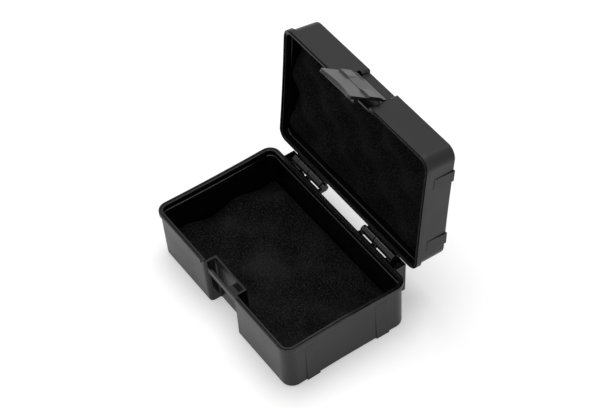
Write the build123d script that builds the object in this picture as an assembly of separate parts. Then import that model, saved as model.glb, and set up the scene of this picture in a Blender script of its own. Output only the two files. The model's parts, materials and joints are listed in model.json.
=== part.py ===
from build123d import *
import math
import os

# Small moulded hard case with a hinged lid, a front snap latch and convoluted foam pads.
# Millimetres, +Z up, +X along the length, the latch on -Y and the hinge on +Y.
# The origin is the centre of the underside of the base. Every piece is modelled as if the
# lid and the latch were shut, and is then swung to the rest pose: lid open on its stops,
# latch swung part way out of its notch.

# Overall form
case_length = 170.8
case_width = 105.4
base_height = 43.2
lid_height = 25.8
corner_radius = 9.0
side_sink = 0.8
rim_gap = 0.15

# How far a cutter runs past the face it opens, and how far roots and seats run into a wall
overrun = 1.0
hair = 0.1
root_embed = 0.6
seat_embed = 0.3
rim_step = 0.2

# Walls: the flange hangs over them at the rim, and they lean in towards floor and roof
flange_overhang = 0.9
base_flange_height = 3.0
lid_flange_height = 4.0
foot_inset = 1.6
crown_inset = 1.8
base_edge_round = 1.2
lid_edge_round = 1.6
wall = 2.4
floor_thickness = 2.4
roof_thickness = 2.2
inner_round = 1.2

# Rim: a tongue of the lid enters a groove of the base, and a ledge runs round inside both
groove_inset = 1.1
groove_width = 0.9
groove_depth = 1.0
tongue_clearance = 0.14
tongue_end_gap = 0.2
ledge_depth = 4.9
ledge_width = 0.6
ledge_round = 0.5

# Upright bands on the short sides: they don't lean, so they stand out of the walls
band_offset = 29.9
band_width = 10.8
band_top_drop = 7.0
lid_band_offset = 29.8
lid_band_shift = 2.2
lid_band_width = 9.6
lid_band_drop = 8.5
band_inset = 0.95

# Front recess with the catch
recess_top_half = 18.8
recess_foot_half = 17.0
recess_inset = 10.5
recess_corner = 1.2
lobe_round = 3.4
pocket_wall = 1.4
pocket_front = 1.5
pocket_drop = 1.0
bar_top_drop = 6.7
bar_height = 5.8
bar_depth = 2.4
bar_round = 0.8
shelf_width = 13.0
shelf_thickness = 2.0
shelf_embed = 1.0

# Notch of the lid: deep beside the latch, shallow above its pivot
notch_half = 18.0
notch_inset = 10.0
notch_lobe_round = 1.0
notch_wall = 1.6
notch_deep_height = 18.6
crown_notch_half = 15.4
crown_notch_inset = 5.7
crown_notch_corner = 0.8
crown_lobe_round = 3.0

# Latch
latch_open = 30.2
latch_half = 17.3
pivot_height = 14.0
pivot_inset = 3.5
barrel_radius = 2.4
latch_length = 37.8
latch_skin = 1.7
pad_rise = 1.2
pad_slope_start = 2.6
pad_start = 6.6
pad_end = 18.0
pad_end_lean = 0.3
ramp_start = 6.0
ramp_end = 22.0
ramp_half = 4.6
ramp_side_slope = 3.4
ramp_cutter_height = 4.0
finger_cut = 3.6
tip_round = 1.8
tip_chamfer = 0.8
lip_thickness = 2.6
hook_reach = 5.5
hook_length = 4.3
hook_chamfer = 0.6
hook_nose = 1.4
hook_clearance = 0.3
latch_pin_radius = 1.25
latch_pin_play = 0.05
latch_pin_end_gap = 0.2

# Hinge
lid_open = 96.9
hinge_outset = 5.65
knuckle_radius = 3.8
lug_radius = 2.9
lug_shift = (-0.5, -0.35)
middle_ear_radius = 3.3
outer_ear_radius = 4.0
pin_radius = 1.5
pin_hold = 0.02
pin_chamfer = 0.3
knuckle_play = 0.06
inner_lug = (24.0, 26.9)
middle_ear = (39.2, 43.1)
outer_ear = (56.4, 62.0)
knuckle_side_gap = 0.3
pin_recess = 1.6
pin_blind = 1.3
lug_root = 3.4
lug_tangent = -105
middle_tangent = -100
gusset_root = 14.0
gusset_tangent = -35
nub_front = -0.4
nub_rise = 4.3
nub_side = 1.5
nub_chamfer = 0.6
nose_start = 2.4
nose_end = 5.2
nose_side = 1.0
nose_root = 2.0
stop_gap = 0.08
web_clearance = 0.7
hinge_plate_reach = 0.6
guard_offset = 69.2
guard_thickness = 1.6
guard_top_reach = 8.9
guard_foot_reach = 7.4
guard_height = 27.2
guard_round = 0.8
guard_back_thickness = 1.4
guard_back_lift = 1.0

# Foam pads
foam_pitch_x = 48.6
foam_pitch_y = 46.4
foam_points_per_wave = 8
base_foam_mean = 9.0
base_foam_wave = 3.2
lid_foam_mean = 14.6
lid_foam_wave = 3.7
foam_gap = 0.4
foam_side_gap = 0.8
foam_pocket_gap = 1.0
base_crest = (-9.6, -9.5)
lid_crest = (-10.0, 14.0)

half_length = case_length / 2
half_width = case_width / 2
rim_z = base_height
lid_z = base_height + rim_gap
crown_z = base_height + lid_height
lip_inset = flange_overhang + wall
hinge_y = half_width + hinge_outset
hinge_z = rim_z
recess_y = -half_width + recess_inset
notch_y = -half_width + notch_inset
crown_notch_y = -half_width + crown_notch_inset
pivot_y = -half_width + pivot_inset
pivot_z = rim_z + pivot_height
latch_face_y = pivot_y - barrel_radius
bar_front_y = latch_face_y + latch_skin + 0.2
bar_top = rim_z - bar_top_drop
bar_bottom = bar_top - bar_height
pocket_top = rim_z - pocket_drop
far = 200.0


def outline(inset, radius=None):
    """Rounded rectangle of the case drawn in by an inset, its short sides sunk a little."""
    x = half_length - inset
    y = half_width - inset
    front = Line((-x, -y), (x, -y))
    right = ThreePointArc((x, -y), (x - side_sink, 0), (x, y))
    back = Line((x, y), (-x, y))
    left = ThreePointArc((-x, y), (-x + side_sink, 0), (-x, -y))
    face = make_face([front, right, back, left])
    return fillet(face.vertices(), radius or corner_radius - inset)


def prism(inset, low, high):
    """Straight block on the case outline."""
    return extrude(Pos(0, 0, low) * outline(inset), high - low)


def drafted(inset_low, low, inset_high, high, radius=None):
    """Block on the case outline whose walls lean from one inset to another."""
    sections = [Pos(0, 0, low) * outline(inset_low, radius), Pos(0, 0, high) * outline(inset_high, radius)]
    return loft(sections, ruled=True)


def block(x0, x1, y0, y1, z0, z1):
    """Box between two corners."""
    return Pos((x0 + x1) / 2, (y0 + y1) / 2, (z0 + z1) / 2) * Box(x1 - x0, y1 - y0, z1 - z0)


def rod(x0, x1, y, z, radius):
    """Round rod along X."""
    return Pos((x0 + x1) / 2, y, z) * Rot(0, 90, 0) * Cylinder(radius, x1 - x0)


def plate(face_yz, x0, x1):
    """Profile drawn in the YZ plane, carried from x0 to x1."""
    return Pos(x0, 0, 0) * extrude(Plane.YZ * face_yz, x1 - x0)


def both_sides(span):
    """The span on +X and its mirror image on -X."""
    return [tuple(sorted((side * span[0], side * span[1]))) for side in (-1, 1)]


def mouth_outline(half, front_y, back_y, lobe, corner):
    """Plan of a cut into the front wall: rounded lobes beside it and rounded inner corners."""
    mouth = half + lobe
    turn = lobe * (1 - math.sqrt(0.5))
    inner = corner * (1 - math.sqrt(0.5))
    edges = []
    for side in (-1, 1):
        edges.append(Line((side * mouth, front_y - 5), (side * mouth, front_y)))
        edges.append(ThreePointArc((side * mouth, front_y), (side * (half + turn), front_y + turn),
                                   (side * half, front_y + lobe)))
        if back_y - corner > front_y + lobe + 0.01:
            edges.append(Line((side * half, front_y + lobe), (side * half, back_y - corner)))
        edges.append(ThreePointArc((side * half, back_y - corner), (side * (half - inner), back_y - inner),
                                   (side * (half - corner), back_y)))
    edges.append(Line((-half + corner, back_y), (half - corner, back_y)))
    edges.append(Line((-mouth, front_y - 5), (mouth, front_y - 5)))
    return make_face(edges)


def bands(low, high, centres, width):
    """Upright bands on the short sides, between two heights."""
    body = prism(band_inset, low, high)
    strips = []
    for x0, x1 in both_sides((half_length - corner_radius, half_length + overrun)):
        for y in centres:
            strips.append(body & block(x0, x1, y - width / 2, y + width / 2, low, high))
    return strips


def rim_ring(margin, low, high):
    """Ring on the line of the rim groove, narrower by a margin each side, left out at the front."""
    inner = groove_inset + groove_width
    mouth = recess_top_half + pocket_wall + lobe_round + margin
    ring = prism(groove_inset + margin, low, high) - prism(inner - margin, low - overrun, high + overrun)
    return ring - block(-mouth, mouth, -far, 0, -far, far)


def inner_space(floor_inset, floor_z, ledge_z, rim_end_z):
    """Inside of a shell: leaning lower walls, the ledge, and the wider part at the rim."""
    low, high = sorted((ledge_z, rim_end_z))
    body = drafted(floor_inset, floor_z, lip_inset + ledge_width, ledge_z) if floor_z < ledge_z else \
        drafted(lip_inset + ledge_width, ledge_z, floor_inset, floor_z)
    end = body.edges().group_by(Axis.Z)[0 if floor_z < ledge_z else -1]
    body = fillet(end, inner_round)
    body += prism(lip_inset, low, high)
    step = [f for f in body.faces() if abs(f.center().Z - ledge_z) < 0.01 and f.inner_wires()]
    return fillet(step[0].inner_wires()[0].edges(), ledge_round)


def make_base_body():
    """Base walls with the flange, bands, recess and inner space."""
    body = drafted(foot_inset, 0, flange_overhang, rim_z - rim_step, corner_radius)
    body = fillet(body.edges().group_by(Axis.Z)[0], base_edge_round)
    body += prism(0, rim_z - base_flange_height, rim_z)
    for band in bands(0, rim_z - band_top_drop, (-band_offset, band_offset), band_width):
        body += band
    foot = mouth_outline(recess_foot_half, -half_width + foot_inset, recess_y, lobe_round, recess_corner)
    top = mouth_outline(recess_top_half, -half_width + flange_overhang, recess_y, lobe_round, recess_corner)
    body -= loft([Pos(0, 0, -overrun) * foot, Pos(0, 0, rim_z + overrun) * top], ruled=True)
    half = recess_top_half + pocket_wall
    back = recess_y + pocket_wall
    space = inner_space(foot_inset + wall, floor_thickness, rim_z - ledge_depth, rim_z + overrun)
    body -= space - block(-half, half, -far, back, -far, far)
    body -= block(-half - hair, half + hair, -half_width + pocket_front, back + hair, pocket_top, far)
    return body


def catch_bar():
    """Bar that the latch hooks under."""
    half = recess_top_half + seat_embed
    bar = block(-half, half, bar_front_y, bar_front_y + bar_depth, bar_bottom, bar_top)
    return fillet(bar.edges().filter_by(Axis.X), bar_round)


def catch_shelf():
    """Shelf that ties one end of the bar to the wall behind it."""
    x1 = recess_top_half + seat_embed
    return block(x1 - shelf_width, x1, bar_front_y + bar_depth - shelf_embed, recess_y + seat_embed,
                 bar_top - shelf_thickness, bar_top)


def arm_profile(centre_y, centre_z, radius, tangent, root):
    """Side view of a hinge lug: a disc, with an arm tangent to it that runs down to the wall."""
    wall_y = half_width - flange_overhang - root_embed
    low_y = centre_y + radius * math.cos(math.radians(tangent))
    low_z = centre_z + radius * math.sin(math.radians(tangent))
    start = (wall_y, rim_z - rim_step)
    arm = make_face(Polyline([start, (centre_y, centre_z), (low_y, low_z), (wall_y, rim_z - root), start]))
    return Pos(centre_y, centre_z) * Circle(radius) + arm


def stop_profile():
    """Side view of the nub and nose on the middle ear, which the open lid leans on."""
    angle = math.radians(lid_open)
    ends = []
    for reach in (nose_start, nose_end):
        rise = (hinge_outset - stop_gap + reach * math.cos(angle)) / math.sin(angle)
        ends.append((hinge_y + reach, hinge_z + rise))
    start = (hinge_y + nub_front, hinge_z + nub_rise - nub_side)
    return make_face(Polyline([start, (hinge_y + nub_front + nub_chamfer, hinge_z + nub_rise),
                               (hinge_y + nose_start - nub_chamfer, hinge_z + nub_rise), ends[0], ends[1],
                               (hinge_y + nose_end, hinge_z + nose_side),
                               (hinge_y + nose_root, hinge_z - nose_root), start]))


def base_hinge_parts():
    """Lugs, ears and mounting plates of the base on both hinges; the inner lugs are blind."""
    lug = arm_profile(hinge_y + lug_shift[0], hinge_z + lug_shift[1], lug_radius, lug_tangent, lug_root)
    middle = arm_profile(hinge_y, hinge_z, middle_ear_radius, middle_tangent, lug_root) + stop_profile()
    outer = arm_profile(hinge_y, hinge_z, outer_ear_radius, gusset_tangent, gusset_root)
    pieces = []
    for side in (-1, 1):
        for span, profile in ((inner_lug, lug), (middle_ear, middle), (outer_ear, outer)):
            x0, x1 = sorted((side * span[0], side * span[1]))
            pieces.append(plate(profile, x0, x1))
        x0, x1 = sorted((side * inner_lug[0], side * outer_ear[1]))
        pieces.append(block(x0, x1, half_width - flange_overhang, half_width + hinge_plate_reach,
                            rim_z - base_flange_height, rim_z))
    return pieces


def base_hinge_bores():
    """Bores for the pins, from the outer ear into the blind inner lug."""
    spans = both_sides((inner_lug[0] + pin_blind, outer_ear[1] + overrun))
    return [rod(x0, x1, hinge_y, hinge_z, pin_radius + pin_hold) for x0, x1 in spans]


def guards():
    """Upright guards beside the hinges, tied to the outer ears by a plate across the back."""
    wall_y = half_width - foot_inset - seat_embed
    top_y = half_width + guard_top_reach
    foot_y = half_width + guard_foot_reach
    low_z = rim_z - guard_height
    back_z = low_z + guard_back_lift
    top_z = rim_z - rim_step
    side = make_face(Polyline([(wall_y, top_z), (top_y, top_z), (foot_y, low_z), (wall_y, low_z),
                               (wall_y, top_z)]))
    side = fillet(side.vertices().sort_by(lambda v: v.X - v.Y)[-1], guard_round)
    start = (top_y - guard_back_thickness, top_z)
    back = make_face(Polyline([start, (top_y, top_z), (foot_y, back_z),
                               (foot_y - guard_back_thickness, back_z), start]))
    pieces = []
    for x0, x1 in both_sides((guard_offset - guard_thickness / 2, guard_offset + guard_thickness / 2)):
        pieces.append(plate(side, x0, x1))
    for x0, x1 in both_sides((outer_ear[0], guard_offset)):
        pieces.append(plate(back, x0, x1))
    return pieces


def make_base():
    """Base shell with its catch, hinge lugs, guards and rim groove."""
    body = make_base_body()
    for piece in [catch_bar(), catch_shelf()] + base_hinge_parts() + guards():
        body += piece
    for bore in base_hinge_bores():
        body -= bore
    return body - rim_ring(0, rim_z - groove_depth, rim_z + overrun)


def make_lid_body():
    """Lid walls with the flange, bands, notch, inner space and tongue, in the shut pose."""
    body = drafted(flange_overhang, lid_z, crown_inset, crown_z, corner_radius)
    body = fillet(body.edges().group_by(Axis.Z)[-1], lid_edge_round)
    body += prism(0, lid_z, lid_z + lid_flange_height)
    centres = (lid_band_shift - lid_band_offset, lid_band_shift + lid_band_offset)
    for band in bands(lid_z + lid_band_drop, crown_z, centres, lid_band_width):
        body += band
    deep_top = rim_z + notch_deep_height
    front = -half_width + flange_overhang
    crown_front = -half_width + crown_inset
    deep = mouth_outline(notch_half, front, notch_y, notch_lobe_round, recess_corner)
    body -= extrude(Pos(0, 0, lid_z - overrun) * deep, deep_top - lid_z + overrun)
    shallow = mouth_outline(crown_notch_half, crown_front, crown_notch_y, crown_lobe_round, crown_notch_corner)
    body -= extrude(Pos(0, 0, deep_top - hair) * shallow, lid_height)
    half = notch_half + notch_wall
    deep_keep = block(-half, half, -far, notch_y + notch_wall, lid_z + ledge_depth, deep_top + notch_wall)
    crown_keep = block(-half, half, -far, crown_notch_y + notch_wall, deep_top - hair, far)
    space = inner_space(crown_inset + wall, crown_z - roof_thickness, lid_z + ledge_depth, lid_z - overrun)
    body -= space - deep_keep - crown_keep
    return body + rim_ring(tongue_clearance, rim_z - groove_depth + tongue_end_gap, lid_z + seat_embed)


def lid_knuckles():
    """Hinge barrels of the lid between the ears, each on a web to the rear wall."""
    wall_y = half_width - flange_overhang - root_embed
    pieces = []
    for low, high in ((inner_lug[1], middle_ear[0]), (middle_ear[1], outer_ear[0])):
        for x0, x1 in both_sides((low + knuckle_side_gap, high - knuckle_side_gap)):
            barrel = rod(x0, x1, hinge_y, hinge_z, knuckle_radius)
            web = block(x0, x1, wall_y, hinge_y, rim_z + web_clearance, hinge_z + knuckle_radius)
            bore = rod(x0 - overrun, x1 + overrun, hinge_y, hinge_z, pin_radius + knuckle_play)
            pieces.append((barrel + web) - bore)
    return pieces


def make_lid():
    """Lid shell with its hinge barrels and the bore of the latch pin, in the shut pose."""
    body = make_lid_body()
    reach = notch_half + notch_wall + overrun
    body -= rod(-reach, reach, pivot_y, pivot_z, latch_pin_radius + latch_pin_play)
    for piece in lid_knuckles():
        body += piece
    return body


def latch_profile():
    """Side view of the latch hanging from its pivot, with the raised pad and the hook."""
    face_y = latch_face_y
    hook_top = bar_bottom - hook_clearance
    hook_low = hook_top - hook_length
    end_z = pivot_z - latch_length
    back_y = face_y + latch_skin
    lip_y = face_y + lip_thickness
    hook_y = face_y + hook_reach
    points = [
        (pivot_y, pivot_z), (face_y, pivot_z), (face_y, pivot_z - pad_slope_start),
        (face_y - pad_rise, pivot_z - pad_start), (face_y - pad_rise, pivot_z - pad_end + pad_end_lean),
        (face_y, pivot_z - pad_end), (face_y, end_z + tip_chamfer), (face_y + tip_chamfer, end_z),
        (lip_y, end_z), (lip_y, hook_low), (hook_y - hook_chamfer, hook_low + hook_chamfer),
        (hook_y, hook_low + hook_nose), (hook_y, hook_top - hook_chamfer), (hook_y - hook_chamfer, hook_top),
        (back_y, hook_top), (back_y, pivot_z - barrel_radius), (pivot_y, pivot_z),
    ]
    return make_face(Polyline(points)) + Pos(pivot_y, pivot_z) * Circle(barrel_radius)


def thumb_ramp():
    """Cutter that slopes the middle of the pad down to the plate, with sloping sides."""
    low, high = latch_face_y - ramp_cutter_height, latch_face_y
    wide = ramp_half + ramp_side_slope * ramp_cutter_height
    plan = make_face(Polyline([(-ramp_half, high), (ramp_half, high), (wide, low), (-wide, low),
                               (-ramp_half, high)]))
    flare = extrude(Pos(0, 0, pivot_z - latch_length) * plan, latch_length)
    top_z, foot_z = pivot_z - ramp_start, pivot_z - ramp_end
    slope = make_face(Polyline([(high - pad_rise, top_z), (high, foot_z), (low, foot_z), (low, top_z),
                                (high - pad_rise, top_z)]))
    return flare & plate(slope, -wide, wide)


def latch_front_view():
    """Front view of the latch: rounded lower corners and a shallow arc cut for a finger."""
    end_z = pivot_z - latch_length
    arc_radius = (latch_half ** 2 + finger_cut ** 2) / (2 * finger_cut)
    view = Pos(0, end_z + far / 2) * Rectangle(2 * latch_half, far)
    view = view - Pos(0, end_z + finger_cut - arc_radius) * Circle(arc_radius)
    tips = view.vertices().group_by(Axis.Y)[0]
    return fillet(tips, tip_round)


def make_latch():
    """Latch: barrel, stepped pads at both sides, a thumb ramp between them and a hook behind."""
    body = plate(latch_profile(), -latch_half, latch_half)
    body &= extrude(Plane.XZ * latch_front_view(), far, both=True)
    body -= thumb_ramp()
    return body - rod(-far, far, pivot_y, pivot_z, latch_pin_radius + latch_pin_play)


def wavy_top(crest, mean_z, wave):
    """Convoluted foam surface: a mean height plus a product of two cosines about a crest."""
    step_x = foam_pitch_x / foam_points_per_wave
    step_y = foam_pitch_y / foam_points_per_wave
    count_x = math.ceil(half_length / step_x) + 1
    count_y = math.ceil(half_width / step_y) + 1
    rows = []
    for i in range(-count_x, count_x + 1):
        row = []
        for j in range(-count_y, count_y + 1):
            x, y = i * step_x, j * step_y
            turn_x = 2 * math.pi * (x - crest[0]) / foam_pitch_x
            turn_y = 2 * math.pi * (y - crest[1]) / foam_pitch_y
            row.append(Vector(x, y, mean_z + wave * math.cos(turn_x) * math.cos(turn_y)))
        rows.append(row)
    return Face.make_surface_from_array_of_points(rows)


def foam_plan(inset, cut_y, cut_half):
    """Plan of a foam pad: the case outline with a cut-out round the front pocket."""
    return outline(inset) - Pos(0, cut_y - far / 2) * Rectangle(2 * cut_half, far)


def make_base_foam():
    """Convoluted pad on the floor of the base."""
    plan = foam_plan(foot_inset + wall + foam_side_gap, recess_y + pocket_wall + foam_pocket_gap,
                     recess_top_half + pocket_wall + foam_pocket_gap)
    low = floor_thickness + foam_gap
    wave = wavy_top(base_crest, floor_thickness + base_foam_mean, base_foam_wave)
    return extrude(Pos(0, 0, low) * plan, base_height) & extrude(wave, base_height, dir=(0, 0, -1))


def make_lid_foam():
    """Convoluted pad under the roof of the lid."""
    plan = foam_plan(crown_inset + wall + foam_side_gap, notch_y + notch_wall + foam_pocket_gap,
                     notch_half + notch_wall + foam_pocket_gap)
    high = crown_z - roof_thickness - foam_gap
    wave = wavy_top(lid_crest, crown_z - roof_thickness - lid_foam_mean, -lid_foam_wave)
    return extrude(Pos(0, 0, high - lid_height) * plan, lid_height) & extrude(wave, lid_height, dir=(0, 0, 1))


def make_hinge_pin(side):
    """Steel pin through the lugs and barrels of one hinge."""
    x0, x1 = sorted((side * (inner_lug[0] + pin_blind + hair), side * (outer_ear[1] - pin_recess)))
    return chamfer(rod(x0, x1, hinge_y, hinge_z, pin_radius).edges(), pin_chamfer)


def make_latch_pin():
    """Steel pin of the latch, held in the side walls of the notch."""
    half = notch_half + notch_wall - latch_pin_end_gap
    return chamfer(rod(-half, half, pivot_y, pivot_z, latch_pin_radius).edges(), pin_chamfer)


def swing(piece, axis_y, axis_z, angle):
    """Turn a piece about an axis along X, its front upwards."""
    return Pos(0, axis_y, axis_z) * Rot(-angle, 0, 0) * Pos(0, -axis_y, -axis_z) * piece


def open_lid(piece):
    """Turn a piece of the lid open."""
    return swing(piece, hinge_y, hinge_z, lid_open)


parts = {
    "base_shell": make_base(),
    "base_foam": make_base_foam(),
    "hinge_pin_left": make_hinge_pin(-1),
    "hinge_pin_right": make_hinge_pin(1),
    "lid_shell": open_lid(make_lid()),
    "lid_foam": open_lid(make_lid_foam()),
    "latch_pin": open_lid(make_latch_pin()),
    "latch": open_lid(swing(make_latch(), pivot_y, pivot_z, latch_open)),
}
os.makedirs("parts", exist_ok=True)
for name, shape in parts.items():
    export_step(shape, f"parts/{name}.step")
    print(name, "solids", len(shape.solids()), "volume", round(shape.volume / 1000, 2), "cm3")
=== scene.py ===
import json
import math

import bpy
import numpy as np
from mathutils import Matrix, Vector


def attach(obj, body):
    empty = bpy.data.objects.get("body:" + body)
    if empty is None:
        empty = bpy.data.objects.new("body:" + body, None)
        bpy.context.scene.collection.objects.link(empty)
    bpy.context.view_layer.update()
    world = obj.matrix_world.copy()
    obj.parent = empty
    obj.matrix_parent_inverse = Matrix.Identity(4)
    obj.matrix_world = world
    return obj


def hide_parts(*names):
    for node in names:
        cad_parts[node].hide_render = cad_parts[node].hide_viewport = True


bl_info = {
    "name": "Foam Lined Hard Case",
    "version": (1, 0, 0),
    "blender": (4, 5, 0),
    "location": "View3D > Sidebar > Hard Case",
    "description": "Finishes, foam pads and studio for a small moulded case with a hinged lid",
    "category": "Object",
}

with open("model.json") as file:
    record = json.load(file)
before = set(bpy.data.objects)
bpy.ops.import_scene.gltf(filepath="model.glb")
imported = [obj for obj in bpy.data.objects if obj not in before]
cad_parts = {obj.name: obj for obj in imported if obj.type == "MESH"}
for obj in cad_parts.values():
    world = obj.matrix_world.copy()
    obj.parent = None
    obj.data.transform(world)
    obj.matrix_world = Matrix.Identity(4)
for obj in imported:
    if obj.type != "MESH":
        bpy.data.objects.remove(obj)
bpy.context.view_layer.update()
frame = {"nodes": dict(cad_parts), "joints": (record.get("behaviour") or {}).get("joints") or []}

# Millimetres to metres
MM = 0.001

# The case in plan, with its short sides sunk a little at their middle
HALF_LENGTH = 85.4 * MM
HALF_WIDTH = 52.7 * MM
CORNER_RADIUS = 9.0 * MM
SIDE_SINK = 0.8 * MM

# The lid turns about a line along x, and at rest it stands open, turned this far from shut
lid_hinge = next(joint for joint in frame["joints"] if joint["name"] == "lid_hinge")
HINGE_Y, HINGE_Z = lid_hinge["pos_m"][1:]
LID_OPEN = math.radians(lid_hinge["range_deg"][1])

# The foam pads as they lie in the shut case: how far inside its outline, the heights of the flat
# face and of the mean of the waves, the half width of the cut that clears the front pocket and
# the y of its edge, and the x and y of one crest
BASE_PAD_INSET = 4.8 * MM
BASE_PAD_FLAT = 2.8 * MM
BASE_PAD_MEAN = 11.4 * MM
BASE_PAD_CUT_HALF = 21.2 * MM
BASE_PAD_CUT_Y = -39.8 * MM
BASE_CREST = (-9.6 * MM, -9.5 * MM)
LID_PAD_INSET = 5.0 * MM
LID_PAD_FLAT = 66.4 * MM
LID_PAD_MEAN = 52.2 * MM
LID_PAD_CUT_HALF = 20.6 * MM
LID_PAD_CUT_Y = -40.1 * MM
LID_CREST = (-10.0 * MM, 14.0 * MM)

# The grid of a pad: its columns along each stretch and round each corner, its rows, how far apart
# the two columns at each side of the cut are, and the angle past which an edge is shown sharp
PAD_STEPS_X = 60
PAD_STEPS_CORNER = 9
PAD_STEPS_Y = 120
PAD_CUT_STEP = 0.05 * MM
PAD_SHARP_ANGLE = math.radians(50)

# Where most of a noise pattern's values lie, on its scale from 0 to 1
NOISE_LOW = 0.3
NOISE_HIGH = 0.7

# Black plastic: its etched grain, how much its sheen changes and over what distance, and the radius
# of the rounding that its edges are shaded with
PLASTIC_IOR = 1.5
GRAIN_SIZE = 0.4 * MM
GRAIN_DEPTH = 0.06 * MM
SHELL_GRAIN = 0.35
LATCH_GRAIN = 0.25
SHEEN_SIZE = 17 * MM
SHEEN_CHANGE = 0.03
EDGE_ROUND = 0.35 * MM

# The polished faces inside the shells: their roughness, the height that the vector away from a
# rim has beside its distance from the middle line, and the product with the normal, above and
# below zero, over which polished turns to etched
POLISHED = 0.12
RIM_AWAY = 40 * MM
ETCH_BLEND = 10 * MM

# Steel wire: the length and width of the lines along it, and its least and most roughness
DRAW_LENGTH = 25 * MM
DRAW_WIDTH = 0.4 * MM
STEEL_SMOOTH = 0.28
STEEL_ROUGH = 0.42

# Foam: its cells and the ribs round them, the tufts, whose ribs carry a painted highlight, and the paler
# patches, each with the range of its noise over which it sets in
CELL_SIZE = 0.7 * MM
CELL_DEPTH = 0.5 * MM
CELL_RELIEF = 0.8
RIB_SHARE = 0.22
TUFT_SIZE = 1.1 * MM
TUFT_FROM = 0.46
TUFT_TO = 0.66
PATCH_SIZE = 24 * MM
PALER_FROM = 0.48
PALER_TO = 0.88
FOAM_ROUGHNESS = 0.95
FOAM_SPECULAR = 0.05

# How much paler the crests of the foam are painted than its valleys, which is painted light, the attribute
# of the mesh that tells them apart, and the one place in the base that is drawn paler, with its reach each
# way
CREST_PAINTED_LIGHT = 0.07
RISE_NAME = "rise"
PALE_SPOT_PLACE = (-13 * MM, -4 * MM, 13 * MM)
PALE_SPOT_REACH = (28 * MM, 20 * MM, 28 * MM)
PALE_SPOT_SHARE = 0.75

# The stage, in metres: half the side of the floor, and the one large soft lamp
FLOOR_HALF = 6.0
FLOOR_ROUGHNESS = 0.9
TOP_LAMP_PLACE = (-0.5, 0.4, 3.0)
TOP_LAMP_SIZE = 2.4
LAMP_AIM = (0, 0, 0.05)

# Camera of the photographed view, as a fitted pinhole, with its sensor and lens in millimetres
# and the end of its view in metres
VIEW_AZIMUTH = math.radians(58.95)
VIEW_ELEVATION = math.radians(48.08)
VIEW_ROLL = math.radians(-4.95)
VIEW_DISTANCE = 1449.1 * MM
VIEW_SHIFT_RIGHT = 17.225 * MM
VIEW_SHIFT_UP = 57.894 * MM
SENSOR_WIDTH = 36.0
LENS = 116.33
VIEW_END = 50


def srgb(code):
    """Linear colour of a hex sRGB code, with an alpha of 1."""
    parts = [int(code[i:i + 2], 16) / 255 for i in (1, 3, 5)]
    linear = [c / 12.92 if c <= 0.04045 else ((c + 0.055) / 1.055) ** 2.4 for c in parts]
    return (*linear, 1.0)


def node(tree, kind, inputs=None, **settings):
    """Adds a node, sets its attributes, and gives its inputs a value or a link each."""
    made = tree.nodes.new(kind)
    for name, value in settings.items():
        setattr(made, name, value)
    for name, value in (inputs or {}).items():
        if isinstance(value, bpy.types.NodeSocket):
            tree.links.new(value, made.inputs[name])
        else:
            made.inputs[name].default_value = value
    return made


def new_material(name):
    """Empty node material and its tree."""
    material = bpy.data.materials.new(name)
    material.use_nodes = True
    material.node_tree.nodes.clear()
    return material, material.node_tree


def shown_ray(tree):
    """1 for a ray from the camera, off a gloss or through glass, and 0 for the light itself."""
    path = node(tree, "ShaderNodeLightPath")
    seen = node(tree, "ShaderNodeMath", {
        0: path.outputs["Is Camera Ray"], 1: path.outputs["Is Glossy Ray"]}, operation="MAXIMUM")
    shown = node(tree, "ShaderNodeMath", {
        0: seen.outputs["Value"], 1: path.outputs["Is Transmission Ray"]}, operation="MAXIMUM")
    return shown.outputs["Value"]


# Materials. Pattern scales are one over a real size, because Object coordinates are metres.

def etched_share(tree, turn, outward):
    """1 on the outer faces of a shell, which the etched mould dulls, and 0 on its inner walls and
    rim, which come out polished. It is the dot product of the normal with a vector that points
    away from the middle line and from the rim, both turned to where the shut shell lies."""
    coordinates = node(tree, "ShaderNodeTexCoord")
    shift_y = HINGE_Y - HINGE_Y * math.cos(turn) + HINGE_Z * math.sin(turn)
    shift_z = HINGE_Z - HINGE_Y * math.sin(turn) - HINGE_Z * math.cos(turn)
    place = node(tree, "ShaderNodeMapping", {
        "Vector": coordinates.outputs["Object"], "Location": (0, shift_y, shift_z),
        "Rotation": (turn, 0, 0)})
    facing = node(tree, "ShaderNodeMapping", {
        "Vector": coordinates.outputs["Normal"], "Rotation": (turn, 0, 0)}, vector_type="NORMAL")
    away = node(tree, "ShaderNodeVectorMath", {
        0: place.outputs["Vector"], 1: (1, 1, 0), 2: (0, 0, outward)}, operation="MULTIPLY_ADD")
    side = node(tree, "ShaderNodeVectorMath", {
        0: facing.outputs["Vector"], 1: away.outputs["Vector"]}, operation="DOT_PRODUCT")
    share = node(tree, "ShaderNodeMapRange", {
        "Value": side.outputs["Value"], "From Min": -ETCH_BLEND, "From Max": ETCH_BLEND})
    return share.outputs["Result"]


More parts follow.
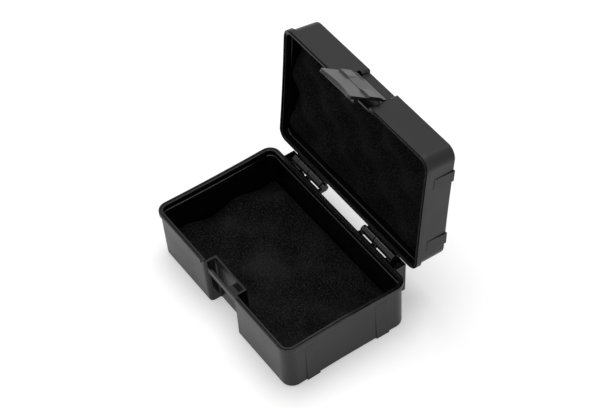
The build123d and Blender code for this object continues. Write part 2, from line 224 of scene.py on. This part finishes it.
def moulded_plastic(name, colour, roughness, specular, grain, shell=None):
    """Black ABS, injection moulded in an etched steel mould: a fine even grain, slight changes of
    sheen over the larger faces, and edges rounded a little, which catch a line of light. A shell
    is polished inside, and is given as its turn and the height that points away from its rim."""
    material, tree = new_material(name)
    place = node(tree, "ShaderNodeTexCoord").outputs["Object"]
    sheen = node(tree, "ShaderNodeTexNoise", {"Vector": place, "Scale": 1 / SHEEN_SIZE, "Detail": 3})
    gloss = node(tree, "ShaderNodeMapRange", {
        "Value": sheen.outputs["Fac"], "From Min": NOISE_LOW, "From Max": NOISE_HIGH,
        "To Min": roughness - SHEEN_CHANGE, "To Max": roughness + SHEEN_CHANGE}).outputs["Result"]
    if shell is not None:
        etched = etched_share(tree, *shell)
        gloss = node(tree, "ShaderNodeMix", {"Factor": etched, "A": POLISHED, "B": gloss}).outputs["Result"]
        grain = node(tree, "ShaderNodeMath", {0: etched, 1: grain}, operation="MULTIPLY").outputs["Value"]
    fine = node(tree, "ShaderNodeTexNoise", {
        "Vector": place, "Scale": 1 / GRAIN_SIZE, "Detail": 2, "Roughness": 0.6})
    edge = node(tree, "ShaderNodeBevel", {"Radius": EDGE_ROUND}, samples=4)
    relief = node(tree, "ShaderNodeBump", {
        "Height": fine.outputs["Fac"], "Strength": grain, "Distance": GRAIN_DEPTH,
        "Normal": edge.outputs["Normal"]})
    shader = node(tree, "ShaderNodeBsdfPrincipled", {
        "Base Color": colour, "IOR": PLASTIC_IOR, "Roughness": gloss,
        "Specular IOR Level": specular, "Normal": relief.outputs["Normal"]})
    node(tree, "ShaderNodeOutputMaterial", {"Surface": shader.outputs["BSDF"]})
    return material


def drawn_steel(name, colour):
    """Steel wire, drawn through a die: bright metal with fine lines along it. The lines are drawn
    wider than real ones, which are too fine to show."""
    material, tree = new_material(name)
    place = node(tree, "ShaderNodeTexCoord").outputs["Object"]
    along = node(tree, "ShaderNodeMapping", {
        "Vector": place, "Scale": (1 / DRAW_LENGTH, 1 / DRAW_WIDTH, 1 / DRAW_WIDTH)})
    lines = node(tree, "ShaderNodeTexNoise", {"Vector": along.outputs["Vector"], "Scale": 1, "Detail": 3})
    gloss = node(tree, "ShaderNodeMapRange", {
        "Value": lines.outputs["Fac"], "From Min": NOISE_LOW, "From Max": NOISE_HIGH,
        "To Min": STEEL_SMOOTH, "To Max": STEEL_ROUGH})
    shader = node(tree, "ShaderNodeBsdfPrincipled", {
        "Base Color": colour, "Metallic": 1.0, "Roughness": gloss.outputs["Result"]})
    node(tree, "ShaderNodeOutputMaterial", {"Surface": shader.outputs["BSDF"]})
    return material


def open_cell_foam(name, colour, fluff_and_crest_light_colour, rib_highlight_colour):
    """Polyurethane foam, cut to waves: near black and matt, with soft paler patches at random and at one
    place in the base, crests painted a little paler than valleys as painted light, and painted highlights
    on the cell ribs. The cells are drawn larger than the real ones, about twice as wide, so that they show
    at this size."""
    material, tree = new_material(name)
    place = node(tree, "ShaderNodeTexCoord").outputs["Object"]
    cells = node(tree, "ShaderNodeTexVoronoi", {"Vector": place, "Scale": 1 / CELL_SIZE},
                 feature="DISTANCE_TO_EDGE")
    ribs = node(tree, "ShaderNodeMapRange", {
        "Value": cells.outputs["Distance"], "From Max": RIB_SHARE, "To Min": 1.0, "To Max": 0.0})
    tufts = node(tree, "ShaderNodeTexNoise", {
        "Vector": place, "Scale": 1 / TUFT_SIZE, "Detail": 3, "Roughness": 0.7})
    # Painted highlight: the ribs in the brighter tufts are mixed toward a pale colour, which stands in for
    # ribs that catch light
    rib_highlight_share = node(tree, "ShaderNodeMapRange", {
        "Value": tufts.outputs["Fac"], "From Min": TUFT_FROM, "From Max": TUFT_TO})
    bright = node(tree, "ShaderNodeMath", {0: ribs.outputs["Result"], 1: rib_highlight_share.outputs["Result"]},
                  operation="MULTIPLY")
    patches = node(tree, "ShaderNodeTexNoise", {
        "Vector": place, "Scale": 1 / PATCH_SIZE, "Detail": 4, "Roughness": 0.6})
    rise = node(tree, "ShaderNodeAttribute", attribute_name=RISE_NAME)
    # Painted light: the crests get a little paler than the valleys, added to the random paler patches
    crest_light_and_patches = node(tree, "ShaderNodeMath", {
        0: rise.outputs["Fac"], 1: CREST_PAINTED_LIGHT, 2: patches.outputs["Fac"]}, operation="MULTIPLY_ADD")
    # One place in the base is drawn paler, fading out over its reach
    pale_spot_place = node(tree, "ShaderNodeMapping", {
        "Vector": place, "Location": [-at / reach for at, reach in zip(PALE_SPOT_PLACE, PALE_SPOT_REACH)],
        "Scale": [1 / reach for reach in PALE_SPOT_REACH]})
    pale_spot = node(tree, "ShaderNodeTexGradient", {"Vector": pale_spot_place.outputs["Vector"]},
                gradient_type="SPHERICAL")
    paler_share = node(tree, "ShaderNodeMath", {
        0: pale_spot.outputs["Fac"], 1: PALE_SPOT_SHARE, 2: crest_light_and_patches.outputs["Value"]}, operation="MULTIPLY_ADD")
    # How far the ground goes to the paler colour: random patches, the paler place and the painted crest
    # light
    paler_mix = node(tree, "ShaderNodeMapRange", {
        "Value": paler_share.outputs["Value"], "From Min": PALER_FROM, "From Max": PALER_TO})
    ground = node(tree, "ShaderNodeMix", {
        "Factor": paler_mix.outputs["Result"], "A": colour, "B": fluff_and_crest_light_colour}, data_type="RGBA")
    # The painted highlight is mixed in on those ribs
    tone = node(tree, "ShaderNodeMix", {
        "Factor": bright.outputs["Value"], "A": ground.outputs["Result"], "B": rib_highlight_colour},
        data_type="RGBA")
    height = node(tree, "ShaderNodeMath", {0: cells.outputs["Distance"], 1: tufts.outputs["Fac"]},
                  operation="ADD")
    relief = node(tree, "ShaderNodeBump", {
        "Height": height.outputs["Value"], "Strength": CELL_RELIEF, "Distance": CELL_DEPTH})
    shader = node(tree, "ShaderNodeBsdfPrincipled", {
        "Base Color": tone.outputs["Result"], "Roughness": FOAM_ROUGHNESS,
        "Specular IOR Level": FOAM_SPECULAR, "Normal": relief.outputs["Normal"]})
    node(tree, "ShaderNodeOutputMaterial", {"Surface": shader.outputs["BSDF"]})
    return material


def pale_floor(name, colour, lift):
    """Matt white board that keeps its shadow: seen directly or in a gloss, it gets an even lift."""
    material, tree = new_material(name)
    glow = node(tree, "ShaderNodeMapRange", {"Value": shown_ray(tree), "To Max": lift})
    shader = node(tree, "ShaderNodeBsdfPrincipled", {
        "Base Color": colour, "Roughness": FLOOR_ROUGHNESS, "Specular IOR Level": 0.0,
        "Emission Color": srgb("#ffffff"), "Emission Strength": glow.outputs["Result"]})
    node(tree, "ShaderNodeOutputMaterial", {"Surface": shader.outputs["BSDF"]})
    return material


# Shapes

def opened(points):
    """Shut-pose points turned about the hinge to the open lid: y and z rotate, x stays."""
    a = points[:, 1] - HINGE_Y
    b = points[:, 2] - HINGE_Z
    turned = points.copy()
    turned[:, 1] = HINGE_Y + a * math.cos(LID_OPEN) + b * math.sin(LID_OPEN)
    turned[:, 2] = HINGE_Z - a * math.sin(LID_OPEN) + b * math.cos(LID_OPEN)
    return turned


def mesh_object(name, points, quads, material):
    """Mesh object at the origin from arrays of points and quads, smooth shaded."""
    mesh = bpy.data.meshes.new(name)
    mesh.from_pydata(points.tolist(), [], quads.tolist())
    mesh.update()
    mesh.polygons.foreach_set("use_smooth", np.ones(len(quads), dtype=bool))
    mesh.materials.append(material)
    made = bpy.data.objects.new(name, mesh)
    bpy.context.scene.collection.objects.link(made)
    return made


def pad_plan(inset, cut_half, cut_y):
    """Plan of a pad as a grid. x runs over the length, with two close columns at each side of
    the cut; y runs from the front edge to the back edge at that x. Both edges follow a quarter
    circle at the corners, the front one steps back at the cut, and the short sides are drawn in
    by a parabola."""
    half_x = HALF_LENGTH - inset
    half_y = HALF_WIDTH - inset
    radius = CORNER_RADIUS - inset
    turn = np.linspace(0, math.pi / 2, PAD_STEPS_CORNER)
    corner = half_x - radius + radius * np.sin(turn)
    beside = np.linspace(cut_half + PAD_CUT_STEP, half_x - radius, PAD_STEPS_X)[:-1]
    side = np.concatenate([beside, corner])
    middle = np.linspace(-cut_half, cut_half, PAD_STEPS_X)
    x = np.concatenate([-side[::-1], middle, side])
    past = np.clip(np.abs(x) - (half_x - radius), 0, radius)
    edge = half_y - radius + np.sqrt(radius ** 2 - past ** 2)
    front = np.where(np.abs(x) <= cut_half, cut_y, -edge)
    share = np.linspace(0, 1, PAD_STEPS_Y)
    grid_y = front[:, None] + (edge - front)[:, None] * share[None, :]
    grid_x = np.repeat(x[:, None], PAD_STEPS_Y, axis=1)
    grid_x = grid_x * (1 - SIDE_SINK / half_x * (1 - (grid_y / half_y) ** 2))
    return grid_x, grid_y


def waved_pad(grid_x, grid_y, flat_z, mean_z, wave, crest, pitch):
    """Closed pad: one face flat, the other at the mean height plus the product of two cosines,
    with walls between them round the edge. Returns points, quads and each point's rise, which is
    that product."""
    turn_x = 2 * math.pi * (grid_x - crest[0]) / pitch[0]
    turn_y = 2 * math.pi * (grid_y - crest[1]) / pitch[1]
    rise = np.cos(turn_x) * np.cos(turn_y)
    top = mean_z + wave * rise
    rows, columns = grid_x.shape
    upper = np.stack([grid_x, grid_y, top], axis=-1).reshape(-1, 3)
    lower = np.stack([grid_x, grid_y, np.full_like(top, flat_z)], axis=-1).reshape(-1, 3)
    index = np.arange(rows * columns).reshape(rows, columns)
    a, b = index[:-1, :-1].ravel(), index[1:, :-1].ravel()
    c, d = index[1:, 1:].ravel(), index[:-1, 1:].ravel()
    count = rows * columns
    face = np.stack([a, b, c, d], axis=1)
    back = np.stack([d, c, b, a], axis=1) + count
    rim = np.concatenate([index[:-1, 0], index[-1, :-1], index[:0:-1, -1], index[0, :0:-1]])
    after = np.roll(rim, -1)
    wall = np.stack([rim + count, after + count, after, rim], axis=1)
    quads = np.concatenate([face, back, wall])
    if flat_z > mean_z:
        quads = quads[:, ::-1]
    return np.concatenate([upper, lower]), quads, np.tile(rise.ravel(), 2)


def lay_pad(pad, rise, node_name, body):
    """Puts a pad in the place of its CAD solid, on its body, with its rise and crisp walls."""
    pad.data.attributes.new(RISE_NAME, "FLOAT", "POINT").data.foreach_set("value", rise)
    pad.data.set_sharp_from_angle(angle=PAD_SHARP_ANGLE)
    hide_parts(node_name)
    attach(pad, body)


# Settings

class ShellSettings(bpy.types.PropertyGroup):
    """Finish of the moulded shells, the latch and the pins."""
    colour: bpy.props.FloatVectorProperty(
        name="Plastic", description="Colour of the moulded plastic", subtype="COLOR", size=4,
        default=srgb("#0a0a0b"))
    shell_roughness: bpy.props.FloatProperty(
        name="Shell roughness", description="Roughness of the outer faces of the two shells",
        subtype="FACTOR", default=0.36, min=0.05, max=1.0)
    latch_roughness: bpy.props.FloatProperty(
        name="Latch roughness", description="Roughness of the latch", subtype="FACTOR", default=0.34,
        min=0.05, max=1.0)
    shell_specular: bpy.props.FloatProperty(
        name="Shell gloss", description="Specular level of the shells", subtype="FACTOR", default=0.33,
        min=0.0, max=1.0)
    latch_specular: bpy.props.FloatProperty(
        name="Latch gloss", description="Specular level of the latch", subtype="FACTOR", default=0.65,
        min=0.0, max=1.0)
    steel: bpy.props.FloatVectorProperty(
        name="Steel", description="Colour of the pins", subtype="COLOR", size=4, default=srgb("#8c8c8e"))


class FoamSettings(bpy.types.PropertyGroup):
    """Sizes and colours of the convoluted foam pads."""
    colour: bpy.props.FloatVectorProperty(
        name="Foam", description="Colour of the foam", subtype="COLOR", size=4, default=srgb("#070707"))
    # Paler colour of the random patches and the paler place, also used for the crests' painted light
    fluff_and_crest_light: bpy.props.FloatVectorProperty(
        name="Fluff and crest light", description="Colour of the fluffed patches", subtype="COLOR", size=4,
        default=srgb("#1c1c1d"))
    # Colour of the painted highlight on the cell ribs
    rib_highlight: bpy.props.FloatVectorProperty(
        name="Painted rib highlights", description="Colour of cell ribs that catch light", subtype="COLOR", size=4,
        default=srgb("#39393c"))
    pitch_x: bpy.props.FloatProperty(
        name="Pitch along", description="Wave pitch along the case", unit="LENGTH", default=48.6 * MM)
    pitch_y: bpy.props.FloatProperty(
        name="Pitch across", description="Wave pitch across the case", unit="LENGTH", default=46.4 * MM)
    base_wave: bpy.props.FloatProperty(
        name="Base wave", description="Half height of the waves in the base", unit="LENGTH",
        default=3.2 * MM)
    lid_wave: bpy.props.FloatProperty(
        name="Lid wave", description="Half height of the waves in the lid", unit="LENGTH",
        default=3.7 * MM)


class StageSettings(bpy.types.PropertyGroup):
    """Floor, lamp and surroundings."""
    floor: bpy.props.FloatVectorProperty(
        name="Floor", description="Colour of the floor", subtype="COLOR", size=4, default=srgb("#e6e6e6"))
    lift: bpy.props.FloatProperty(
        name="Floor lift", description="Even lift of the floor where it is seen", default=0.36, min=0.0)
    top: bpy.props.FloatProperty(
        name="Top lamp", description="Power of the large lamp above", unit="POWER", default=68.0, min=0.0)
    fill: bpy.props.FloatProperty(
        name="Fill light", description="Light that the surroundings give", default=0.35, min=0.0)
    white: bpy.props.FloatProperty(
        name="White surroundings", description="Strength of the surroundings where they are seen or "
        "reflected", default=1.0, min=0.0)


# Operators

def finish_node(name, material):
    """Gives a CAD node one material on all its slots."""
    target = frame["nodes"][name]
    for place in target.material_slots:
        place.material = material


class CASE_OT_shells(bpy.types.Operator):
    """Finishes the base and lid shells in black moulded plastic"""
    bl_idname = "hardcase.shells"
    bl_label = "Finish Shells"

    def execute(self, context):
        settings = context.scene.case_shell
        for part, turn, outward in (("base", 0.0, -RIM_AWAY), ("lid", LID_OPEN, RIM_AWAY)):
            plastic = moulded_plastic(f"black_{part}_plastic", tuple(settings.colour),
                                      settings.shell_roughness, settings.shell_specular, SHELL_GRAIN,
                                      (turn, outward))
            finish_node(f"{part}_shell", plastic)
        return {"FINISHED"}


class CASE_OT_latch(bpy.types.Operator):
    """Finishes the snap latch in a slightly smoother black plastic"""
    bl_idname = "hardcase.latch"
    bl_label = "Finish Latch"

    def execute(self, context):
        settings = context.scene.case_shell
        plastic = moulded_plastic("black_latch_plastic", tuple(settings.colour),
                                  settings.latch_roughness, settings.latch_specular, LATCH_GRAIN)
        finish_node("latch", plastic)
        return {"FINISHED"}


class CASE_OT_pins(bpy.types.Operator):
    """Finishes the hinge pins and the latch pin in drawn steel"""
    bl_idname = "hardcase.pins"
    bl_label = "Finish Pins"

    def execute(self, context):
        steel = drawn_steel("drawn_steel_wire", tuple(context.scene.case_shell.steel))
        for name in ("hinge_pin_left", "hinge_pin_right", "latch_pin"):
            finish_node(name, steel)
        return {"FINISHED"}


def foam_material(settings):
    """The shared foam material, made once."""
    found = bpy.data.materials.get("dark_open_cell_foam")
    return found or open_cell_foam("dark_open_cell_foam", tuple(settings.colour), tuple(settings.fluff_and_crest_light),
                                   tuple(settings.rib_highlight))


class CASE_OT_base_foam(bpy.types.Operator):
    """Lays the convoluted foam pad in the base"""
    bl_idname = "hardcase.base_foam"
    bl_label = "Lay Base Foam"

    def execute(self, context):
        settings = context.scene.case_foam
        grid_x, grid_y = pad_plan(BASE_PAD_INSET, BASE_PAD_CUT_HALF, BASE_PAD_CUT_Y)
        points, quads, rise = waved_pad(grid_x, grid_y, BASE_PAD_FLAT, BASE_PAD_MEAN, settings.base_wave,
                                        BASE_CREST, (settings.pitch_x, settings.pitch_y))
        pad = mesh_object("base_foam_pad", points, quads, foam_material(settings))
        lay_pad(pad, rise, "base_foam", "base")
        return {"FINISHED"}


class CASE_OT_lid_foam(bpy.types.Operator):
    """Fixes the convoluted foam pad under the roof of the lid"""
    bl_idname = "hardcase.lid_foam"
    bl_label = "Fix Lid Foam"

    def execute(self, context):
        settings = context.scene.case_foam
        grid_x, grid_y = pad_plan(LID_PAD_INSET, LID_PAD_CUT_HALF, LID_PAD_CUT_Y)
        points, quads, rise = waved_pad(grid_x, grid_y, LID_PAD_FLAT, LID_PAD_MEAN, -settings.lid_wave,
                                        LID_CREST, (settings.pitch_x, settings.pitch_y))
        pad = mesh_object("lid_foam_pad", opened(points), quads, foam_material(settings))
        lay_pad(pad, rise, "lid_foam", "lid")
        return {"FINISHED"}


def add_lamp(name, place, aim, size, power):
    """Square soft lamp at a place, turned to its aim."""
    data = bpy.data.lights.new(name, "AREA")
    data.shape = "SQUARE"
    data.size = size
    data.energy = power
    lamp = bpy.data.objects.new(name, data)
    lamp.location = place
    lamp.rotation_euler = (Vector(aim) - Vector(place)).to_track_quat("-Z", "Y").to_euler()
    bpy.context.scene.collection.objects.link(lamp)


def add_surroundings(scene, fill, white):
    """Even surroundings: a low fill for the light, and white where they are seen or reflected."""
    world = bpy.data.worlds.new("even_surroundings")
    world.use_nodes = True
    tree = world.node_tree
    tree.nodes.clear()
    strength = node(tree, "ShaderNodeMapRange", {"Value": shown_ray(tree), "To Min": fill, "To Max": white})
    background = node(tree, "ShaderNodeBackground", {
        "Color": srgb("#ffffff"), "Strength": strength.outputs["Result"]})
    node(tree, "ShaderNodeOutputWorld", {"Surface": background.outputs["Background"]})
    scene.world = world


def add_camera():
    """Camera from its azimuth, elevation, roll, distance and picture offsets."""
    level_right = Vector((math.cos(VIEW_AZIMUTH), math.sin(VIEW_AZIMUTH), 0))
    back = Vector((math.sin(VIEW_AZIMUTH) * math.cos(VIEW_ELEVATION),
                   -math.cos(VIEW_AZIMUTH) * math.cos(VIEW_ELEVATION), math.sin(VIEW_ELEVATION)))
    level_up = back.cross(level_right)
    right = level_right * math.cos(VIEW_ROLL) + level_up * math.sin(VIEW_ROLL)
    up = level_up * math.cos(VIEW_ROLL) - level_right * math.sin(VIEW_ROLL)
    place = right * VIEW_SHIFT_RIGHT + up * VIEW_SHIFT_UP + back * VIEW_DISTANCE
    data = bpy.data.cameras.new("photo_camera")
    data.sensor_fit = "HORIZONTAL"
    data.sensor_width = SENSOR_WIDTH
    data.lens = LENS
    data.clip_end = VIEW_END
    camera = bpy.data.objects.new("photo_camera", data)
    turn = Matrix((right, up, back)).transposed().to_4x4()
    camera.matrix_world = Matrix.Translation(place) @ turn
    bpy.context.scene.collection.objects.link(camera)
    bpy.context.scene.camera = camera


class CASE_OT_stage(bpy.types.Operator):
    """Sets up the pale floor, the soft lamp, the surroundings and the camera"""
    bl_idname = "hardcase.stage"
    bl_label = "Set Up Studio"

    def execute(self, context):
        settings = context.scene.case_stage
        corners = np.array([[-1, -1, 0], [1, -1, 0], [1, 1, 0], [-1, 1, 0]]) * FLOOR_HALF
        floor = mesh_object("studio_floor", corners, np.array([[0, 1, 2, 3]]),
                            pale_floor("pale_floor", tuple(settings.floor), settings.lift))
        add_lamp("top_lamp", TOP_LAMP_PLACE, LAMP_AIM, TOP_LAMP_SIZE, settings.top)
        add_surroundings(context.scene, settings.fill, settings.white)
        context.scene.view_settings.view_transform = "Standard"
        add_camera()
        return {"FINISHED"}


class CASE_PT_panel(bpy.types.Panel):
    """Lists the settings and the steps that dress the case"""
    bl_idname = "CASE_PT_panel"
    bl_label = "Foam Lined Hard Case"
    bl_space_type = "VIEW_3D"
    bl_region_type = "UI"
    bl_category = "Hard Case"

    def draw(self, context):
        for settings in (context.scene.case_shell, context.scene.case_foam, context.scene.case_stage):
            for name in settings.__annotations__:
                self.layout.prop(settings, name)
        for operator in OPERATORS:
            self.layout.operator(operator.bl_idname)


OPERATORS = (CASE_OT_shells, CASE_OT_latch, CASE_OT_pins, CASE_OT_base_foam, CASE_OT_lid_foam,
             CASE_OT_stage)
CLASSES = (ShellSettings, FoamSettings, StageSettings, *OPERATORS, CASE_PT_panel)


def register():
    """Registers the classes and hangs the settings on the scene."""
    for item in CLASSES:
        bpy.utils.register_class(item)
    bpy.types.Scene.case_shell = bpy.props.PointerProperty(type=ShellSettings)
    bpy.types.Scene.case_foam = bpy.props.PointerProperty(type=FoamSettings)
    bpy.types.Scene.case_stage = bpy.props.PointerProperty(type=StageSettings)


def unregister():
    """Takes the settings and the classes away again."""
    del bpy.types.Scene.case_stage
    del bpy.types.Scene.case_foam
    del bpy.types.Scene.case_shell
    for item in reversed(CLASSES):
        bpy.utils.unregister_class(item)


def main():
    """Dresses the case."""
    register()
    bpy.ops.hardcase.shells()
    bpy.ops.hardcase.latch()
    bpy.ops.hardcase.pins()
    bpy.ops.hardcase.base_foam()
    bpy.ops.hardcase.lid_foam()
    bpy.ops.hardcase.stage()


if __name__ == "__main__":
    main()
